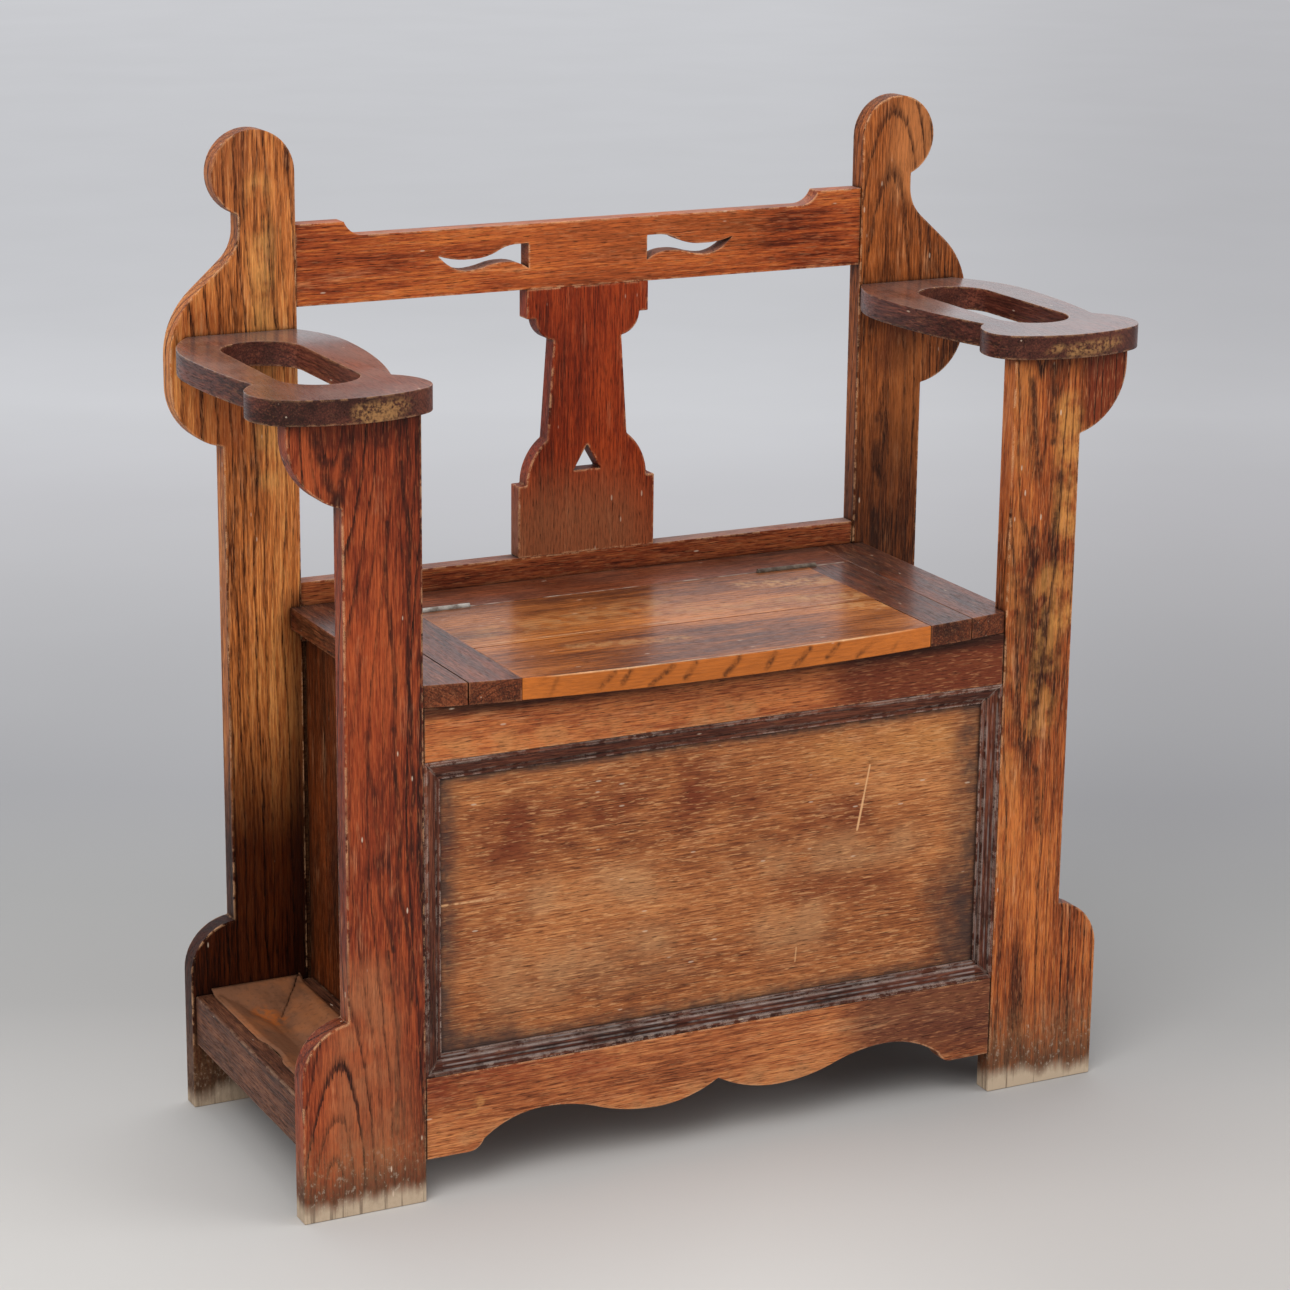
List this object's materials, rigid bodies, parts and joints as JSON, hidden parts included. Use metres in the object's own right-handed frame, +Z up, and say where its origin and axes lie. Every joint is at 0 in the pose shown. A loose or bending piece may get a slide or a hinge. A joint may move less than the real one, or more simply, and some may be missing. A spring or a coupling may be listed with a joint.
{
  "type": "hall bench",
  "caption": "Oak hall bench with a lidded box seat, a pierced and splatted back, and a ring-armed stick stand with a drip tray at each end.",
  "frame": {"origin": "on the floor under the middle of the bench's overall box", "axes": "+X to the right as one faces the bench, +Y from front to back, +Z up"},
  "size_m": [0.864, 0.328, 0.912],
  "materials": {
    "oak": "dark stained oak, waxed, worn at the edges",
    "tray": "brown painted sheet with rust",
    "hinge": "dull worn steel",
    "screw": "dull steel"
  },
  "bodies": {
    "bench": {"arm_ring_left": "oak", "arm_ring_right": "oak", "arm_screws": "screw", "back_lower_rail": "oak", "back_splat": "oak", "back_top_rail": "oak", "bottom_bearer_front": "oak", "bottom_bearer_left": "oak", "bottom_bearer_rear": "oak", "bottom_bearer_right": "oak", "bottom_bearer_screws": "screw", "chest_back_panel": "oak", "chest_bottom_board": "oak", "corner_block_front_left": "oak", "corner_block_front_right": "oak", "corner_block_rear_left": "oak", "corner_block_rear_right": "oak", "front_apron": "oak", "front_panel": "oak", "front_top_rail": "oak", "front_upright_left": "oak", "front_upright_right": "oak", "hinge_fixed_leaf_left": "hinge", "hinge_fixed_leaf_right": "hinge", "hinge_pin_left": "hinge", "hinge_pin_right": "hinge", "hinge_screws_fixed": "screw", "lid_bearer_left": "oak", "lid_bearer_right": "oak", "lid_bearer_screws": "screw", "moulding_bottom": "oak", "moulding_left": "oak", "moulding_right": "oak", "moulding_top": "oak", "rear_upright_left": "oak", "rear_upright_right": "oak", "seat_end_left": "oak", "seat_end_right": "oak", "seat_rear_bearer": "oak", "seat_rear_board": "oak", "seat_screws": "screw", "side_panel_left": "oak", "side_panel_right": "oak", "side_stretcher_left": "oak", "side_stretcher_right": "oak", "tray_bearer_left": "oak", "tray_bearer_right": "oak", "tray_bearer_screws": "screw"},
    "lid": {"hinge_lid_leaf_left": "hinge", "hinge_lid_leaf_right": "hinge", "hinge_screws_lid": "screw", "lid_board_front": "oak", "lid_board_rear": "oak", "lid_cleat_left": "oak", "lid_cleat_right": "oak"},
    "drip_tray_left": {"drip_tray_left": "tray"},
    "drip_tray_right": {"drip_tray_right": "tray"}
  },
  "joints": [
    {"name": "lid_hinge", "type": "hinge", "parent": "bench", "child": "lid", "pos_m": [0, 0.0815, 0.4748], "axis": [-1, 0, 0], "range_deg": [0, 105]},
    {"name": "tray_lift_left", "type": "slide", "parent": "bench", "child": "drip_tray_left", "axis": [0, 0, 1], "range_m": [0, 0.15]},
    {"name": "tray_lift_right", "type": "slide", "parent": "bench", "child": "drip_tray_right", "axis": [0, 0, 1], "range_m": [0, 0.15]}
  ]
}
